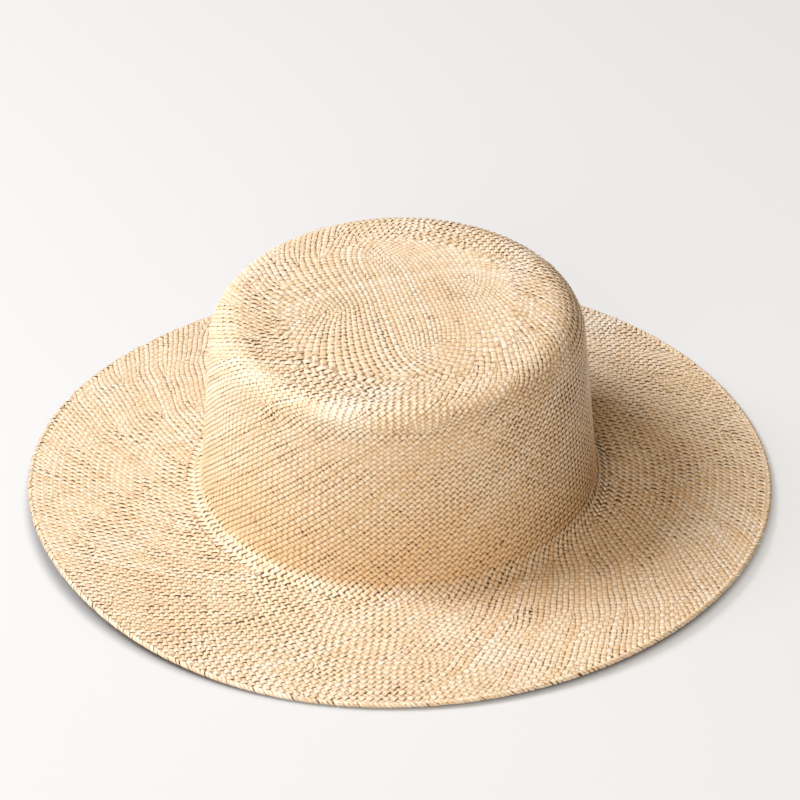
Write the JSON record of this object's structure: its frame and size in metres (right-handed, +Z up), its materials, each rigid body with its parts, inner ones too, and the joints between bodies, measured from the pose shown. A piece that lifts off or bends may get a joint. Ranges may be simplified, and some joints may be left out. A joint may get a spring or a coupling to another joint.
{
  "type": "straw boater hat",
  "caption": "Natural straw boater hat with a flat-topped oval crown and a wide, slightly wavy oval brim, hand woven in one piece and worn against the sun.",
  "frame": {"origin": "on the surface that the hat stands on, under the middle of the brim", "axes": "+Z up out of the crown, +Y towards the back of the hat along its longer side, +X towards its right as seen from the front"},
  "size_m": [0.3362, 0.3564, 0.0898],
  "materials": {
    "straw": "matt, woven from flat strips of natural straw"
  },
  "bodies": {
    "root": {"hat_body": "straw"}
  },
  "joints": []
}
